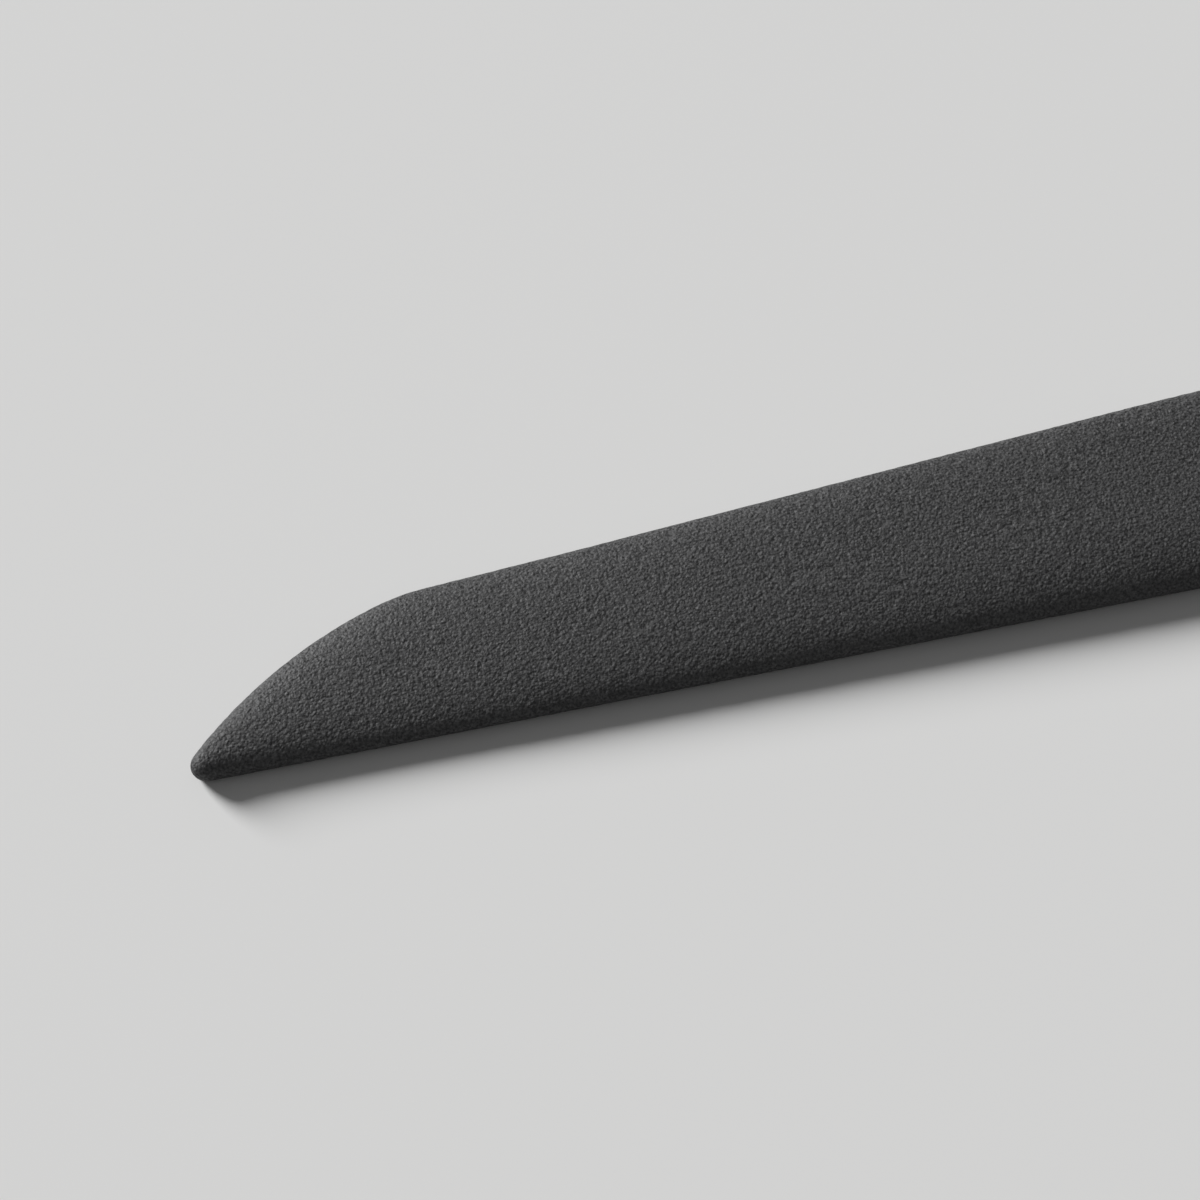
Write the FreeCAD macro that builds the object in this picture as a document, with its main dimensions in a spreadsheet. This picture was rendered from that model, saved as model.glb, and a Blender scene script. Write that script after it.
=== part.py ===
import FreeCAD, Part
import math
import os

import Sketcher

# Bone folder: a flat, crowned creasing and smoothing blade made from one solid piece.
# Frame: +X runs along the blade from the working point (at -X) to the rounded butt (at +X),
# -Y is the straight creasing edge, +Y the edge that sweeps round into the point, +Z is up.
# The flat back lies on Z = 0, and the origin is the centre of the box that holds the outline.

SHEET_ROWS = (
    # alias, value in millimetres or degrees, what it drives
    ("overall_length", 155.0, "point to butt"),
    ("butt_radius", 11.75, "round butt end, half of the greatest width"),
    ("edge_taper", 1.85, "angle of each long edge to the blade's middle line"),
    ("shoulder_place", 26.0, "point to the shoulder, where the far edge stops being straight"),
    ("shoulder_radius", 22.0, "first, tighter part of the curve from the shoulder to the point"),
    ("sweep_radius", 47.5, "second, longer part of the curve from the shoulder to the point"),
    ("point_radius", 1.45, "blunt working point"),
    ("point_height", 2.6, "crown height at the point"),
    ("butt_height", 4.5, "crown height at the butt"),
    ("slab_height", 6.75, "blank before the crowned face is cut"),
    ("waste_height", 9.0, "top of the waste that the crowned cut takes away"),
    ("point_crown", 38.0, "radius of the crowned face across the point"),
    ("butt_crown", 95.0, "radius of the crowned face across the butt"),
    ("back_rim", 0.8, "rounding where the flat back meets the wall"),
    ("point_rim", 1.2, "rounding of the crowned face's rim round the point"),
    ("butt_rim", 2.5, "rounding of the crowned face's rim round the butt"),
)

# The sketcher's numbers for the places on a piece of geometry, and for its own origin and X axis.
START, END, CENTRE = 1, 2, 3
ORIGIN, X_AXIS = -1, -1

# How level an edge has to be, in millimetres, to count as lying in the back.
LEVEL = 1e-6

doc = FreeCAD.newDocument("bone_folder")

sheet = doc.addObject("Spreadsheet::Sheet", "Dimensions")
for row, (alias, value, meaning) in enumerate(SHEET_ROWS, start=1):
    sheet.set(f"A{row}", alias)
    sheet.set(f"B{row}", str(value))
    sheet.set(f"C{row}", meaning)
    sheet.setAlias(f"B{row}", alias)
doc.recompute()


def size(alias):
    """The value of one driving dimension."""
    return float(sheet.get(alias))


def origin_plane(body, role):
    """One of a body's own origin planes, such as XY_Plane."""
    return next(item for item in body.Origin.OriginFeatures if item.Role == role)


def new_sketch(body, name, role):
    """An empty sketch that lies on one of the body's origin planes."""
    sketch = body.newObject("Sketcher::SketchObject", name)
    sketch.AttachmentSupport = (origin_plane(body, role), [""])
    sketch.MapMode = "FlatFace"
    return sketch


def drive(sketch, kind, places, value, expression):
    """A sketch constraint whose value follows the spreadsheet."""
    index = sketch.addConstraint(Sketcher.Constraint(kind, *places, value))
    sketch.setExpression(f"Constraints[{index}]", expression)


def at_angle(centre, radius, angle):
    """A point on a circle in the XY plane."""
    return centre + FreeCAD.Vector(radius * math.cos(angle), radius * math.sin(angle), 0)


def circle_crossing(first, first_radius, second, second_radius):
    """The right-hand crossing of two circles, looking from the first centre to the second."""
    between = second - first
    gap = between.Length
    along = between / gap
    right = FreeCAD.Vector(along.y, -along.x, 0)
    foot = (gap**2 + first_radius**2 - second_radius**2) / (2 * gap)
    rise = math.sqrt(first_radius**2 - foot**2)
    return first + along * foot + right * rise


def direction(start, end):
    """The angle of the way from one point to another, from 0 to a full turn."""
    way = end - start
    return math.atan2(way.y, way.x) % math.tau


def outline_arcs():
    """Centre, radius, start and end angle of the outline's four arcs, for the sketch to start from."""
    taper = math.radians(size("edge_taper"))
    half_length = size("overall_length") / 2
    butt_radius = size("butt_radius")
    shoulder_radius = size("shoulder_radius")
    sweep_radius = size("sweep_radius")
    point_radius = size("point_radius")
    far_normal = math.pi / 2 + taper
    near_normal = 3 * math.pi / 2 - taper

    butt = FreeCAD.Vector(half_length - butt_radius, 0, 0)

    # The point's centre is one point radius inside the near edge.
    point_x = point_radius - half_length
    near_drop = (butt.x - point_x) * math.sin(taper)
    point_y = (point_radius + near_drop - butt_radius) / math.cos(taper)
    point = FreeCAD.Vector(point_x, point_y, 0)

    # The shoulder's centre is one shoulder radius inside the far edge, below the shoulder.
    shoulder_x = size("shoulder_place") - half_length
    shoulder_y = butt_radius / math.cos(taper) - (butt.x - shoulder_x) * math.tan(taper)
    shoulder_start = FreeCAD.Vector(shoulder_x, shoulder_y, 0)
    shoulder = at_angle(shoulder_start, -shoulder_radius, far_normal)

    # The sweep touches the shoulder arc and the point arc from outside.
    sweep = circle_crossing(
        point, sweep_radius - point_radius, shoulder, sweep_radius - shoulder_radius
    )
    to_shoulder = direction(sweep, shoulder)
    to_point = direction(sweep, point)

    return (
        (butt, butt_radius, near_normal - math.tau, far_normal),
        (shoulder, shoulder_radius, far_normal, to_shoulder),
        (sweep, sweep_radius, to_shoulder, to_point),
        (point, point_radius, to_point, near_normal),
    )


def draw_outline(body):
    """The blade seen from above: two tapering edges, a round butt, a shoulder that sweeps to a point."""
    sketch = new_sketch(body, "Outline", "XY_Plane")
    up = FreeCAD.Vector(0, 0, 1)
    arcs = outline_arcs()
    butt, shoulder, sweep, point = (
        sketch.addGeometry(Part.ArcOfCircle(Part.Circle(centre, up, radius), first, last), False)
        for centre, radius, first, last in arcs
    )
    butt_ends, shoulder_ends, _, point_ends = (
        (at_angle(centre, radius, first), at_angle(centre, radius, last))
        for centre, radius, first, last in arcs
    )
    far_edge = sketch.addGeometry(Part.LineSegment(butt_ends[1], shoulder_ends[0]), False)
    near_edge = sketch.addGeometry(Part.LineSegment(point_ends[1], butt_ends[0]), False)

    loop = (butt, far_edge, shoulder, sweep, point, near_edge)
    for first, second in zip(loop, loop[1:] + loop[:1]):
        sketch.addConstraint(Sketcher.Constraint("Tangent", first, END, second, START))

    for arc, alias in (
        (butt, "butt_radius"),
        (shoulder, "shoulder_radius"),
        (sweep, "sweep_radius"),
        (point, "point_radius"),
    ):
        drive(sketch, "Radius", (arc,), size(alias), f"Dimensions.{alias}")

    half_length = size("overall_length") / 2
    half = "Dimensions.overall_length / 2"
    sketch.addConstraint(Sketcher.Constraint("PointOnObject", butt, CENTRE, X_AXIS))
    drive(
        sketch,
        "DistanceX",
        (ORIGIN, START, butt, CENTRE),
        half_length - size("butt_radius"),
        f"{half} - Dimensions.butt_radius",
    )
    drive(
        sketch,
        "DistanceX",
        (point, CENTRE, ORIGIN, START),
        half_length - size("point_radius"),
        f"{half} - Dimensions.point_radius",
    )
    drive(
        sketch,
        "DistanceX",
        (shoulder, START, ORIGIN, START),
        half_length - size("shoulder_place"),
        f"{half} - Dimensions.shoulder_place",
    )
    taper = math.radians(size("edge_taper"))
    drive(sketch, "Angle", (near_edge,), -taper, "-Dimensions.edge_taper * 1 deg")
    drive(sketch, "Angle", (far_edge,), math.pi + taper, "180 deg + Dimensions.edge_taper * 1 deg")
    return sketch


def draw_crown(body):
    """The waste above the crowned face, in side view, with the cone axis it is turned about."""
    sketch = new_sketch(body, "Crown", "XZ_Plane")
    half_length = size("overall_length") / 2
    point_height = size("point_height")
    butt_height = size("butt_height")
    waste_height = size("waste_height")

    def line(start, end, helper=False):
        ends = (FreeCAD.Vector(*start, 0), FreeCAD.Vector(*end, 0))
        return sketch.addGeometry(Part.LineSegment(*ends), helper)

    face = line((-half_length, point_height), (half_length, butt_height))
    butt_side = line((half_length, butt_height), (half_length, waste_height))
    lid = line((half_length, waste_height), (-half_length, waste_height))
    point_side = line((-half_length, waste_height), (-half_length, point_height))
    axis = line(
        (-half_length, point_height - size("point_crown")),
        (half_length, butt_height - size("butt_crown")),
        helper=True,
    )

    loop = (face, butt_side, lid, point_side)
    for first, second in zip(loop, loop[1:] + loop[:1]):
        sketch.addConstraint(Sketcher.Constraint("Coincident", first, END, second, START))
    sketch.addConstraint(Sketcher.Constraint("Vertical", butt_side))
    sketch.addConstraint(Sketcher.Constraint("Vertical", point_side))
    sketch.addConstraint(Sketcher.Constraint("Horizontal", lid))

    half = "Dimensions.overall_length / 2"
    for geometry in (face, axis):
        drive(sketch, "DistanceX", (geometry, START, ORIGIN, START), half_length, half)
        drive(sketch, "DistanceX", (ORIGIN, START, geometry, END), half_length, half)
    drive(sketch, "DistanceY", (ORIGIN, START, face, START), point_height, "Dimensions.point_height")
    drive(sketch, "DistanceY", (ORIGIN, START, face, END), butt_height, "Dimensions.butt_height")
    drive(
        sketch,
        "DistanceY",
        (ORIGIN, START, lid, START),
        waste_height,
        "Dimensions.waste_height",
    )
    drive(
        sketch,
        "DistanceY",
        (axis, START, ORIGIN, START),
        size("point_crown") - point_height,
        "Dimensions.point_crown - Dimensions.point_height",
    )
    drive(
        sketch,
        "DistanceY",
        (axis, END, ORIGIN, START),
        size("butt_crown") - butt_height,
        "Dimensions.butt_crown - Dimensions.butt_height",
    )
    return sketch


def back_edges(shape):
    """Names of the edges round the flat back."""
    lowest = shape.BoundBox.ZMin
    return [
        f"Edge{number}"
        for number, edge in enumerate(shape.Edges, start=1)
        if edge.BoundBox.ZMax - lowest < LEVEL
    ]


def rim_radius(x):
    """Rounding of the crowned face's rim, which grows from the point to the butt."""
    length = size("overall_length")
    share = (x + length / 2) / length
    return size("point_rim") + share * (size("butt_rim") - size("point_rim"))


def crown_edges(shape):
    """Number and two end radii of each edge round the crowned face."""
    crowned = max(shape.Faces, key=lambda face: face.CenterOfMass.z)
    edges = []
    for number, edge in enumerate(shape.Edges, start=1):
        if any(edge.isSame(other) for other in crowned.Edges):
            first = edge.valueAt(edge.FirstParameter)
            last = edge.valueAt(edge.LastParameter)
            edges.append((number, rim_radius(first.x), rim_radius(last.x)))
    return edges


def make_blade_blank():
    """The blade before its crowned face gets its rounded rim."""
    body = doc.addObject("PartDesign::Body", "BladeBlank")
    outline = draw_outline(body)
    pad = body.newObject("PartDesign::Pad", "Slab")
    pad.Profile = outline
    pad.setExpression("Length", "Dimensions.slab_height")
    doc.recompute()

    crown = draw_crown(body)
    groove = body.newObject("PartDesign::Groove", "CrownedFace")
    groove.Profile = crown
    groove.ReferenceAxis = (crown, ["Axis0"])
    groove.Angle = 180
    groove.Midplane = True
    doc.recompute()
    if groove.Shape.Volume >= pad.Shape.Volume:
        raise RuntimeError("the crown cut took nothing away")

    fillet = body.newObject("PartDesign::Fillet", "BackRim")
    fillet.Base = (groove, back_edges(groove.Shape))
    fillet.setExpression("Radius", "Dimensions.back_rim")
    doc.recompute()
    return body


def make_folder_blade():
    """The finished one-piece tool."""
    blank = make_blade_blank()
    blade = doc.addObject("Part::Fillet", "FolderBlade")
    blade.Base = blank
    blade.Edges = crown_edges(blank.Shape)
    blade.Label = "folder_blade"
    doc.recompute()
    return blade


sub_parts = [make_folder_blade()]
doc.recompute()

for item in doc.Objects:
    if "Invalid" in item.State or "Error" in item.State:
        raise RuntimeError(f"{item.Name} did not recompute: {item.State}")
for item in sub_parts:
    if item.Shape.isNull() or not item.Shape.isValid():
        raise RuntimeError(f"{item.Label} has no valid shape")

os.makedirs("parts", exist_ok=True)
for item in sub_parts:
    item.Shape.exportStep(f"parts/{item.Label}.step")
    box = item.Shape.optimalBoundingBox()
    print(f"{item.Label}: {box.XLength:.2f} x {box.YLength:.2f} x {box.ZLength:.2f} mm")
    print(f"  corner {box.XMin:.2f}, {box.YMin:.2f}, {box.ZMin:.2f}, volume {item.Shape.Volume:.0f} mm3")
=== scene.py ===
"""Looks of a one-piece bone folder: a dry, near-black blade with a fine sandy grain all over."""

import math

import bmesh
import bpy
import numpy as np
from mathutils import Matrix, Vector, noise


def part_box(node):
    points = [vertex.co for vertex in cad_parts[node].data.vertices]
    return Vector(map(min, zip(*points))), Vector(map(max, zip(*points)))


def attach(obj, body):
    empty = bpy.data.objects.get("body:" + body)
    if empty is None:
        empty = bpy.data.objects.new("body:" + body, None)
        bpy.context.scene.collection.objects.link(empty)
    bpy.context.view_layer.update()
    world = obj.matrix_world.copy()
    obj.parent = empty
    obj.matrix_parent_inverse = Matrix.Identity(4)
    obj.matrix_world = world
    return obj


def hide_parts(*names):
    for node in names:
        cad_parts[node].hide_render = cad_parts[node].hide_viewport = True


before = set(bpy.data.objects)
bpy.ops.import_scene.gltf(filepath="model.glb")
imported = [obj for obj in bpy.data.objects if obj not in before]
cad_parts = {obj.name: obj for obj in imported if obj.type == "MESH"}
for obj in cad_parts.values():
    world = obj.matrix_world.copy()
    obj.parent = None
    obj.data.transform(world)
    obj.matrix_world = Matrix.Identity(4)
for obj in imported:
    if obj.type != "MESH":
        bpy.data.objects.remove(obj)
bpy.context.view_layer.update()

NODE = "folder_blade"
MM = 0.001

# Sizes that the frame gives, in millimetres.
node_low, node_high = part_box(NODE)
LENGTH = (node_high.x - node_low.x) / MM
BUTT_RADIUS = (node_high.y - node_low.y) / MM / 2

# The blade's other driving dimensions, in millimetres, as the CAD model has them.
EDGE_TAPER = math.radians(1.85)
SHOULDER_PLACE = 26.0
SHOULDER_RADIUS = 22.0
SWEEP_RADIUS = 47.5
POINT_RADIUS = 1.45
POINT_HEIGHT = 2.6
BUTT_HEIGHT = 4.5
BACK_RIM = 0.8

# The section of the face, at places counted in millimetres from the point. It falls from a level
# ridge to each edge by a drop, in millimetres, along a curve: a power of 2 is an ellipse and a
# higher one is flatter. "Near" is the straight edge's side and "far" the swept edge's. The ridge
# lies towards the straight edge by a share of the half width.
PLACES = (0, 40, 100, 143)
NEAR_DROP = (1.5, 1.7, 2.2, 2.6)
NEAR_POWER = (2.3, 2.4, 2.1, 2.6)
FAR_DROP = (1.5, 1.8, 1.9, 2.6)
FAR_POWER = (2.3, 2.2, 4.0, 2.6)
RIDGE_SHIFT = (0.0, 0.0, 0.22, 0.0)

# How finely the blade is meshed. Lengths are in millimetres.
STATION_STEP = 0.26
LEAST_ARC_STEPS = 6
FACE_COLUMNS = 76
RIM_WIDTH = 2.4
RIM_SHARE = 0.8
RIM_ROWS = 14
BACK_RIM_ROWS = 8
BACK_COLUMNS = 20
WELD_DISTANCE = 0.02

# How finely the width and the rim are sampled while the mesh is laid out.
WIDTH_STATIONS = 400
WIDTH_ACROSS = 201
RIM_SAMPLES = 160
RIM_CROWDING = 3


# ---------------------------------------------------------------- outline


def polar(angle):
    """Unit vectors of an array of angles."""
    return np.stack([np.cos(angle), np.sin(angle)], axis=-1)


def circle_crossing(first, first_radius, second, second_radius):
    """The right-hand crossing of two circles, looking from the first centre to the second."""
    between = second - first
    gap = np.linalg.norm(between)
    along = between / gap
    foot = (gap**2 + first_radius**2 - second_radius**2) / (2 * gap)
    rise = math.sqrt(first_radius**2 - foot**2)
    return first + along * foot + np.array([along[1], -along[0]]) * rise


def direction(start, end):
    """The angle of the way from one point to another, from 0 to a full turn."""
    way = end - start
    return math.atan2(way[1], way[0]) % math.tau


def outline_arcs():
    """Centre, radius, first and last angle of each arc. The point and the butt are in halves."""
    half = LENGTH / 2
    far_normal = math.pi / 2 + EDGE_TAPER
    near_normal = 3 * math.pi / 2 - EDGE_TAPER
    butt = np.array([half - BUTT_RADIUS, 0.0])

    point_x = POINT_RADIUS - half
    near_drop = (butt[0] - point_x) * math.sin(EDGE_TAPER)
    point = np.array([point_x, (POINT_RADIUS + near_drop - BUTT_RADIUS) / math.cos(EDGE_TAPER)])

    shoulder_x = SHOULDER_PLACE - half
    shoulder_y = BUTT_RADIUS / math.cos(EDGE_TAPER) - (butt[0] - shoulder_x) * math.tan(EDGE_TAPER)
    shoulder = np.array([shoulder_x, shoulder_y]) - SHOULDER_RADIUS * polar(far_normal)
    sweep = circle_crossing(
        point, SWEEP_RADIUS - POINT_RADIUS, shoulder, SWEEP_RADIUS - SHOULDER_RADIUS
    )
    to_shoulder = direction(sweep, shoulder)
    to_point = direction(sweep, point)
    return {
        "near_point": (point, POINT_RADIUS, math.pi, near_normal),
        "near_butt": (butt, BUTT_RADIUS, near_normal, math.tau),
        "far_point": (point, POINT_RADIUS, math.pi, to_point),
        "sweep": (sweep, SWEEP_RADIUS, to_point, to_shoulder),
        "shoulder": (shoulder, SHOULDER_RADIUS, to_shoulder, far_normal),
        "far_butt": (butt, BUTT_RADIUS, far_normal, 0.0),
    }


ARCS = outline_arcs()
NEAR_ARCS = ("near_point", "near_butt")
FAR_ARCS = ("far_point", "sweep", "shoulder", "far_butt")


def sampled_arc(centre, radius, first, last):
    """Points and outward normals along an arc, evenly spaced."""
    steps = max(LEAST_ARC_STEPS, math.ceil(abs(last - first) * radius / STATION_STEP))
    normals = polar(np.linspace(first, last, steps + 1))
    return centre + radius * normals, normals


def sampled_line(start, end, normal):
    """Points along a straight stretch of outline, each with the stretch's one normal."""
    count = max(2, math.ceil(np.linalg.norm(end - start) / STATION_STEP))
    shares = np.linspace(0, 1, count)[:, None]
    return start + (end - start) * shares, np.repeat(normal[None], count, axis=0)


def joined(pieces):
    """One chain from pieces that meet end to end, without their doubled points."""
    (first_points, first_normals), *rest = pieces
    points = np.concatenate([first_points] + [points[1:] for points, _ in rest])
    normals = np.concatenate([first_normals] + [normals[1:] for _, normals in rest])
    return points, normals


def side_chain(names):
    """One side of the outline, from the point's end to the butt's end."""
    *before, last_arc, butt_arc = [ARCS[name] for name in names]
    normal = polar(butt_arc[2])
    edge = sampled_line(
        last_arc[0] + last_arc[1] * normal,
        butt_arc[0] + butt_arc[1] * normal,
        normal,
    )
    curved = [sampled_arc(*arc) for arc in (*before, last_arc)]
    return joined([*curved, edge, sampled_arc(*butt_arc)])


def evenly(points, normals, count):
    """A chain's points and normals at an even count of places along its length."""
    runs = np.linalg.norm(np.diff(points, axis=0), axis=1)
    reach = np.concatenate([[0], np.cumsum(runs)])
    places = np.linspace(0, reach[-1], count)
    points = np.stack([np.interp(places, reach, points[:, k]) for k in (0, 1)], axis=1)
    normals = np.stack([np.interp(places, reach, normals[:, k]) for k in (0, 1)], axis=1)
    return points, normals / np.linalg.norm(normals, axis=1)[:, None]


def edge_distance(names, spots):
    """How far each spot inside the outline is from one side of it."""
    nearest = np.full(spots.shape[:-1], np.inf)
    for name in names:
        centre, radius, first, last = ARCS[name]
        way = spots - centre
        angle = np.arctan2(way[..., 1], way[..., 0])
        low, high = min(first, last), max(first, last)
        within = (angle - low) % math.tau <= high - low
        gap = radius - np.hypot(way[..., 0], way[..., 1])
        nearest = np.where(within, np.minimum(nearest, gap), nearest)

    # The side's straight edge touches the butt's arc where that arc begins.
    centre, radius, first, _ = ARCS[names[-1]]
    return np.minimum(nearest, radius - (spots - centre) @ polar(first))


# ---------------------------------------------------------------- section


def at_place(x, values):
    """A size that is given at the PLACES, at any x."""
    return np.interp(x + LENGTH / 2, PLACES, values)


def half_width(x):
    """Half of the blade's width, at least the point's radius, and not narrowing over the butt."""
    across = np.linspace(-1, 1, WIDTH_ACROSS) * BUTT_RADIUS
    stations = np.linspace(-LENGTH / 2, LENGTH / 2, WIDTH_STATIONS)
    spots = np.stack(np.meshgrid(stations, across, indexing="ij"), axis=-1)
    room = np.minimum(edge_distance(NEAR_ARCS, spots), edge_distance(FAR_ARCS, spots)).max(axis=1)
    room = np.maximum.accumulate(room.clip(POINT_RADIUS))
    return np.interp(x, stations, room)


def fall(distance, reach, drop, power):
    """How far the face has fallen at a distance from the edge, if the fall is as wide as reach."""
    share = (1 - distance / reach).clip(0, 1)
    return drop * (1 - (1 - share**power) ** (1 / power))


def face_height(spots):
    """Height of the face at spots inside the outline."""
    x = spots[..., 0]
    top = POINT_HEIGHT + (x / LENGTH + 0.5) * (BUTT_HEIGHT - POINT_HEIGHT)
    half = half_width(x)
    shift = at_place(x, RIDGE_SHIFT)
    near = fall(
        edge_distance(NEAR_ARCS, spots),
        half * (1 - shift),
        at_place(x, NEAR_DROP),
        at_place(x, NEAR_POWER),
    )
    far = fall(
        edge_distance(FAR_ARCS, spots),
        half * (1 + shift),
        at_place(x, FAR_DROP),
        at_place(x, FAR_POWER),
    )
    return top - np.maximum(near, far)


# ---------------------------------------------------------------- mesh


def side_rows(points, normals):
    """Rows of points from inside the face's edge, over the rim, and under to the back."""
    width = np.minimum(RIM_WIDTH, RIM_SHARE * half_width(points[:, 0]))[:, None]
    insets = width * np.linspace(1, 0, RIM_SAMPLES) ** RIM_CROWDING
    spots = points[:, None] - normals[:, None] * insets[..., None]
    heights = face_height(spots)
    runs = np.hypot(np.diff(insets, axis=1), np.diff(heights, axis=1))
    reach = np.concatenate([np.zeros((len(runs), 1)), np.cumsum(runs, axis=1)], axis=1)

    rows = []
    for share in np.linspace(0, 1, RIM_ROWS):
        inset = np.array([np.interp(share * r[-1], r, i) for r, i in zip(reach, insets)])
        height = np.array([np.interp(share * r[-1], r, z) for r, z in zip(reach, heights)])
        rows.append(np.column_stack([points - normals * inset[:, None], height]))
    rim_height = rows[-1][:, 2]
    for turn in np.linspace(0, math.pi / 2, BACK_RIM_ROWS)[1:]:
        flat = points - normals * BACK_RIM * (1 - math.cos(turn))
        rows.append(np.column_stack([flat, rim_height * (1 - math.sin(turn))]))
    return rows


def blade_grid():
    """Points of the closed blade surface: one loop of points round the blade at each station."""
    count = math.ceil(LENGTH / STATION_STEP)
    near_rows = side_rows(*evenly(*side_chain(NEAR_ARCS), count))
    far_rows = side_rows(*evenly(*side_chain(FAR_ARCS), count))

    face = []
    for share in np.linspace(0, 1, FACE_COLUMNS + 1)[1:-1]:
        flat = near_rows[0][:, :2] + (far_rows[0][:, :2] - near_rows[0][:, :2]) * share
        face.append(np.column_stack([flat, face_height(flat)]))
    back = []
    for share in np.linspace(0, 1, BACK_COLUMNS + 1)[1:-1]:
        back.append(far_rows[-1] + (near_rows[-1] - far_rows[-1]) * share)
    return np.stack(near_rows[::-1] + face + far_rows + back, axis=1)


def weld(mesh):
    """Joins the points that meet at the two ends, and turns every face outward."""
    work = bmesh.new()
    work.from_mesh(mesh)
    bmesh.ops.remove_doubles(work, verts=work.verts, dist=WELD_DISTANCE * MM)
    bmesh.ops.recalc_face_normals(work, faces=work.faces)
    work.to_mesh(mesh)
    work.free()


def blade_mesh(grid):
    """A closed, smooth-shaded mesh of quads from the loops of points."""
    stations, around = grid.shape[:2]
    index = np.arange(stations * around).reshape(stations, around)
    ahead = np.roll(index, -1, axis=1)
    quads = np.stack([index[:-1], index[1:], ahead[1:], ahead[:-1]], axis=-1).reshape(-1, 4)
    mesh = bpy.data.meshes.new("blade_skin")
    mesh.from_pydata((grid.reshape(-1, 3) * MM).tolist(), [], quads.tolist())
    mesh.update()
    weld(mesh)
    for polygon in mesh.polygons:
        polygon.use_smooth = True
    return mesh


# ---------------------------------------------------------------- relief

# Pitch and depth, in metres, of the relief that the mesh itself carries.
GRAIN_PITCH = 0.62 * MM
GRAIN_RELIEF = 0.034 * MM
WAVE_PITCH = 9.0 * MM
WAVE_RELIEF = 0.004 * MM


def add_relief(mesh):
    """Sandy relief on the real surface: fine grain, and a very faint waviness under it."""
    count = len(mesh.vertices)
    places = np.empty(count * 3)
    normals = np.empty(count * 3)
    mesh.vertices.foreach_get("co", places)
    mesh.vertex_normals.foreach_get("vector", normals)
    places = places.reshape(-1, 3)
    normals = normals.reshape(-1, 3)
    lift = np.empty(count)
    for i, place in enumerate(places):
        spot = Vector(place)
        grain = noise.noise(spot / GRAIN_PITCH)
        wave = noise.noise(spot / WAVE_PITCH)
        lift[i] = GRAIN_RELIEF * grain + WAVE_RELIEF * wave
    places += normals * lift[:, None]

    # The back stays on the surface that it lies on.
    places[:, 2] = places[:, 2].clip(0)
    mesh.vertices.foreach_set("co", places.ravel())
    mesh.update()


# ---------------------------------------------------------------- materials

# Pattern repeats to the metre, and depths in metres, of the grain that the material adds.
LUMP_SCALE = 2500
LUMP_DEPTH = 0.14 * MM
GRAIN_SCALE = 3100
GRAIN_DEPTH = 0.058 * MM
# Repeats to the metre of the speck pattern that paints glints and pit shade into the base colour.
PAINTED_SPECK_SCALE = 3700
MOTTLE_SCALE = 160

# Base colour of the dark specks, which are painted shade standing for shadowed pits, and of the
# light specks, which are painted glints, and where in the speck pattern each is reached.
PAINTED_SHADE_AT = 0.33
PAINTED_PIT_SHADE_COLOUR = (0.010, 0.010, 0.0105, 1)
PAINTED_GLINT_AT = 0.69
PAINTED_GLINT_COLOUR = (0.076, 0.076, 0.077, 1)

# The roughness between the low and the high values of the mottle pattern, and the gloss.
MOTTLE_RANGE = (0.3, 0.7)
ROUGHNESS_RANGE = (0.55, 0.63)
SPECULAR_LEVEL = 0.25

FLOOR_COLOUR = (0.78, 0.78, 0.775, 1)
FLOOR_ROUGHNESS = 0.9


def new_material(name):
    """A new material with its node tree and its shader."""
    material = bpy.data.materials.new(name)
    material.use_nodes = True
    return material, material.node_tree, material.node_tree.nodes["Principled BSDF"]


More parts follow.
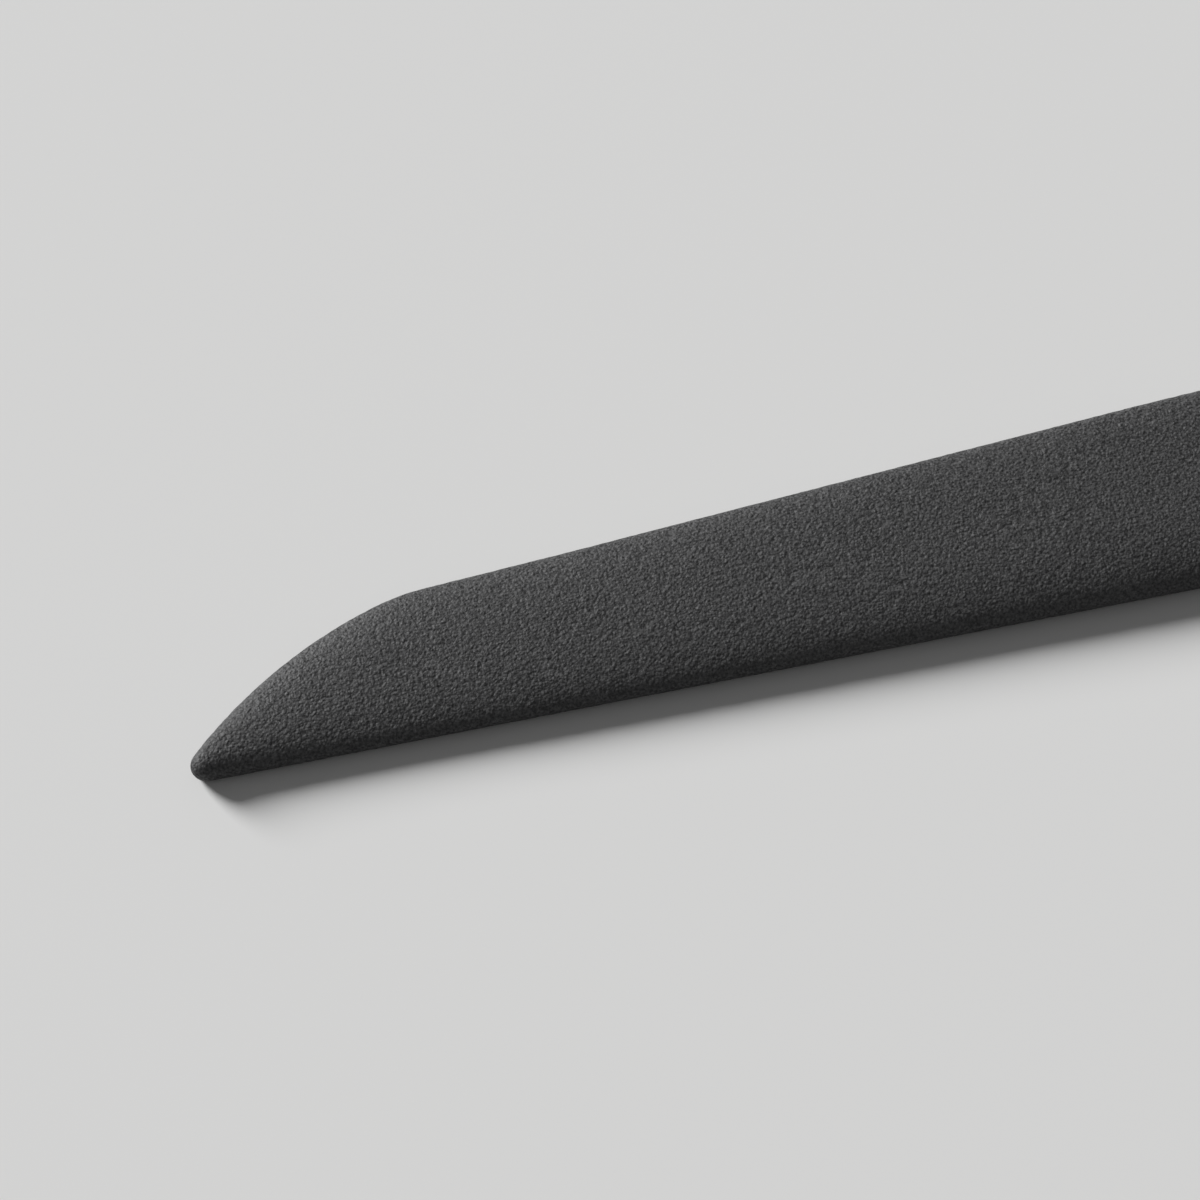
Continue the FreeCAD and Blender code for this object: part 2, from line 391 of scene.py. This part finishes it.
def grained_black():
    """Dry near-black surface with a fine sandy grain, and random light and dark specks in its colour
    that are painted glints and painted pit shade.
    """
    material, tree, shader = new_material("grained_black")
    nodes, links = tree.nodes, tree.links
    place = nodes.new("ShaderNodeTexCoord")

    def texture(kind, scale, **values):
        node = nodes.new(kind)
        links.new(place.outputs["Object"], node.inputs["Vector"])
        node.inputs["Scale"].default_value = scale
        for name, value in values.items():
            node.inputs[name].default_value = value
        return node

    def bump(height, distance, invert=False, below=None):
        node = nodes.new("ShaderNodeBump")
        node.inputs["Strength"].default_value = 1.0
        node.inputs["Distance"].default_value = distance
        node.invert = invert
        links.new(height, node.inputs["Height"])
        if below:
            links.new(below.outputs["Normal"], node.inputs["Normal"])
        return node

    lumps = texture("ShaderNodeTexNoise", LUMP_SCALE, Detail=2.0, Roughness=0.55)
    grains = texture("ShaderNodeTexVoronoi", GRAIN_SCALE)
    lump_bump = bump(lumps.outputs["Fac"], LUMP_DEPTH)
    grain_bump = bump(grains.outputs["Distance"], GRAIN_DEPTH, invert=True, below=lump_bump)
    links.new(grain_bump.outputs["Normal"], shader.inputs["Normal"])

    # Painted glints and painted pit shade: a noise picks random light and dark specks in the base
    # colour, standing for glints and shadowed pits.
    painted_specks = texture("ShaderNodeTexNoise", PAINTED_SPECK_SCALE, Detail=1.0, Roughness=0.5)
    glint_and_shade_ramp = nodes.new("ShaderNodeValToRGB")
    painted_shade_stop, painted_glint_stop = glint_and_shade_ramp.color_ramp.elements
    painted_shade_stop.position, painted_shade_stop.color = PAINTED_SHADE_AT, PAINTED_PIT_SHADE_COLOUR
    painted_glint_stop.position, painted_glint_stop.color = PAINTED_GLINT_AT, PAINTED_GLINT_COLOUR
    links.new(painted_specks.outputs["Fac"], glint_and_shade_ramp.inputs["Fac"])
    links.new(glint_and_shade_ramp.outputs["Color"], shader.inputs["Base Color"])

    mottle = texture("ShaderNodeTexNoise", MOTTLE_SCALE, Detail=3.0, Roughness=0.5)
    dryness = nodes.new("ShaderNodeMapRange")
    dryness.inputs["From Min"].default_value, dryness.inputs["From Max"].default_value = MOTTLE_RANGE
    dryness.inputs["To Min"].default_value, dryness.inputs["To Max"].default_value = ROUGHNESS_RANGE
    links.new(mottle.outputs["Fac"], dryness.inputs["Value"])
    links.new(dryness.outputs["Result"], shader.inputs["Roughness"])
    shader.inputs["Specular IOR Level"].default_value = SPECULAR_LEVEL
    return material


def pale_floor():
    """Plain pale studio surface."""
    material, _, shader = new_material("pale_floor")
    shader.inputs["Base Color"].default_value = FLOOR_COLOUR
    shader.inputs["Roughness"].default_value = FLOOR_ROUGHNESS
    return material


# ---------------------------------------------------------------- blade


def new_object(name, data):
    """An object of the scene, with its place still at the origin."""
    made = bpy.data.objects.new(name, data)
    bpy.context.scene.collection.objects.link(made)
    return made


skin = blade_mesh(blade_grid())
add_relief(skin)
skin.materials.append(grained_black())
blade = new_object("blade_skin", skin)
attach(blade, "root")
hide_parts(NODE)

# ---------------------------------------------------------------- studio

FLOOR_HALF = 3.0

# The camera looks at a place on the blade that is given from its point, its middle and its back.
CAMERA_AZIMUTH = -14.0
CAMERA_ELEVATION = 62.0
CAMERA_LENS = 90.0
CAMERA_SENSOR = 36.0
CAMERA_CLIP = (0.01, 20.0)
FRAME_WIDTH = 118.0 * MM
AIM = Vector((node_low.x + 42.35 * MM, 2.45 * MM, 1.5 * MM))

# One broad, distant lamp, low behind the swept edge, so that the light is even all over the floor.
KEY_AZIMUTH = 217
KEY_ELEVATION = 22
KEY_STRENGTH = 5.7
KEY_SOFTNESS = math.radians(22)

# The world lights the object faintly, and is seen, directly or in a gloss, as a pale backdrop.
FILL_STRENGTH = 0.13
BACKDROP_STRENGTH = 0.55
WORLD_COLOUR = (1, 1, 1, 1)


def toward(azimuth, elevation):
    turn = math.radians(azimuth)
    rise = math.radians(elevation)
    flat = math.cos(rise)
    return Vector((math.sin(turn) * flat, -math.cos(turn) * flat, math.sin(rise)))


def aim(thing, place):
    """Puts a camera or a lamp at a place, looking at AIM."""
    thing.location = place
    thing.rotation_mode = "QUATERNION"
    thing.rotation_quaternion = (place - AIM).to_track_quat("Z", "Y")


def make_floor():
    mesh = bpy.data.meshes.new("floor")
    corners = [(x * FLOOR_HALF, y * FLOOR_HALF, 0) for x, y in ((-1, -1), (1, -1), (1, 1), (-1, 1))]
    mesh.from_pydata(corners, [], [(0, 1, 2, 3)])
    mesh.materials.append(pale_floor())
    new_object("floor", mesh)


def make_camera():
    data = bpy.data.cameras.new("camera")
    data.lens = CAMERA_LENS
    data.sensor_width = CAMERA_SENSOR
    data.clip_start, data.clip_end = CAMERA_CLIP
    camera = new_object("camera", data)
    distance = FRAME_WIDTH * CAMERA_LENS / CAMERA_SENSOR
    aim(camera, AIM + toward(CAMERA_AZIMUTH, CAMERA_ELEVATION) * distance)
    bpy.context.scene.camera = camera


def make_key_lamp():
    data = bpy.data.lights.new("key_lamp", "SUN")
    data.energy = KEY_STRENGTH
    data.angle = KEY_SOFTNESS
    aim(new_object("key_lamp", data), AIM + toward(KEY_AZIMUTH, KEY_ELEVATION))


def make_world():
    world = bpy.data.worlds.new("studio")
    bpy.context.scene.world = world
    world.use_nodes = True
    nodes, links = world.node_tree.nodes, world.node_tree.links

    fill = nodes["Background"]
    backdrop = nodes.new("ShaderNodeBackground")
    for light, strength in ((fill, FILL_STRENGTH), (backdrop, BACKDROP_STRENGTH)):
        light.inputs["Color"].default_value = WORLD_COLOUR
        light.inputs["Strength"].default_value = strength

    ray = nodes.new("ShaderNodeLightPath")
    seen = ray.outputs["Is Camera Ray"]
    for kind in ("Is Glossy Ray", "Is Transmission Ray"):
        either = nodes.new("ShaderNodeMath")
        either.operation = "MAXIMUM"
        links.new(seen, either.inputs[0])
        links.new(ray.outputs[kind], either.inputs[1])
        seen = either.outputs[0]

    mix = nodes.new("ShaderNodeMixShader")
    links.new(seen, mix.inputs[0])
    links.new(fill.outputs[0], mix.inputs[1])
    links.new(backdrop.outputs[0], mix.inputs[2])
    links.new(mix.outputs[0], nodes["World Output"].inputs["Surface"])


make_floor()
make_camera()
make_key_lamp()
make_world()
bpy.context.scene.view_settings.view_transform = "Standard"
